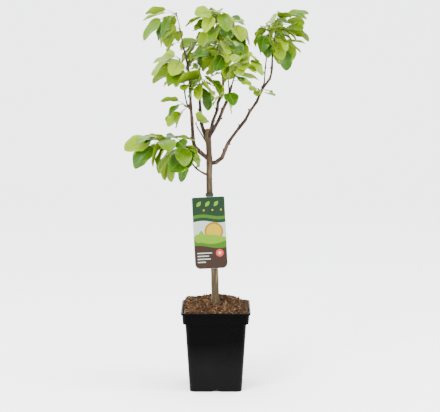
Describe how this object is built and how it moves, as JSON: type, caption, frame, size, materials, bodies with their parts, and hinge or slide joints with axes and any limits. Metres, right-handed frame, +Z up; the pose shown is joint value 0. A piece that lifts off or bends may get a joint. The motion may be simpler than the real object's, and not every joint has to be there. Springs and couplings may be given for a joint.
{
  "type": "young conference pear tree in a square nursery pot",
  "caption": "Young pear tree with an open, leafy crown on a slim stem, in a square black nursery pot of bark mulch, with a hanging label.",
  "frame": {"origin": "on the floor, at the middle of the pot's flat underside", "axes": "+Z up along the stem; -Y is the front, which the label faces; +X to the right seen from the front"},
  "size_m": [0.4445, 0.3098, 0.9367],
  "materials": {
    "pot": "satin",
    "mulch": "matte",
    "bark": "matte",
    "twig_bark": "matte",
    "leaves": "satin",
    "label_strap": "satin",
    "label_card": "satin"
  },
  "bodies": {
    "plant": {"pot": "pot", "substrate": "mulch", "trunk": "bark", "bough_low_left": "twig_bark", "bough_left": "twig_bark", "bough_left_inner": "twig_bark", "bough_short": "twig_bark", "bough_rear": "twig_bark", "bough_centre": "twig_bark", "bough_front": "twig_bark", "bough_right": "twig_bark", "bough_right_inner": "twig_bark", "foliage_low_left": "leaves", "foliage_left_top": "leaves", "foliage_left_mid": "leaves", "foliage_left_low": "leaves", "foliage_left_front": "leaves", "foliage_left_high": "leaves", "foliage_short": "leaves", "foliage_rear": "leaves", "foliage_centre": "leaves", "foliage_crest": "leaves", "foliage_front": "leaves", "foliage_front_high": "leaves", "foliage_front_low": "leaves", "foliage_right_top": "leaves", "foliage_right_inner": "leaves", "foliage_right_low": "leaves", "label_strap": "label_strap"},
    "label": {"label_card": "label_card"}
  },
  "joints": [
    {"name": "label_lift", "type": "hinge", "parent": "plant", "child": "label", "pos_m": [-0.0153, -0.0114, 0.476], "axis": [-0.9988, 0, -0.0489], "range_deg": [0, 75]}
  ]
}
